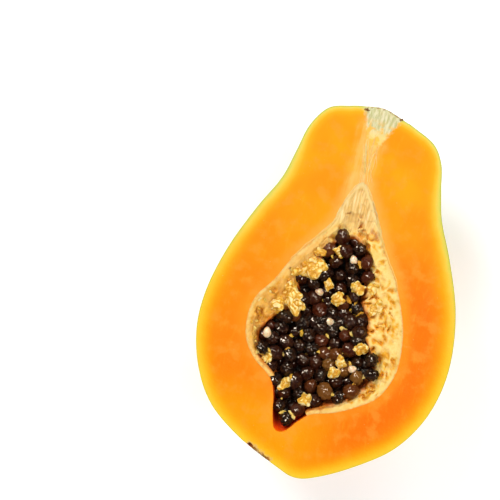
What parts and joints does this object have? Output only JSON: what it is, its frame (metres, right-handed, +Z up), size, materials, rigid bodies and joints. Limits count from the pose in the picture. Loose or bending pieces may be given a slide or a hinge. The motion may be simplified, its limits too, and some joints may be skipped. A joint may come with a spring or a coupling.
{
  "type": "papaya half",
  "caption": "Half of a ripe papaya on its back, cut lengthways, with orange flesh, mottled skin and a cavity of pale pulp and black seeds.",
  "frame": {"origin": "under the middle of the half, on the surface that its back rests on", "axes": "+Z up, out of the cut face; +Y towards the stalk end; +X to the right as seen from above with the stalk end away from the viewer"},
  "size_m": [0.1155, 0.1708, 0.0572],
  "materials": {
    "flesh": "moist orange flesh, yellow-green under the mottled waxy skin",
    "pulp": "moist cream and yellow spongy fibres",
    "seeds": "wet black-brown seeds in a thin clear gel"
  },
  "bodies": {
    "root": {"papaya_half": "flesh", "pulp": "pulp", "seeds": "seeds"}
  },
  "joints": []
}
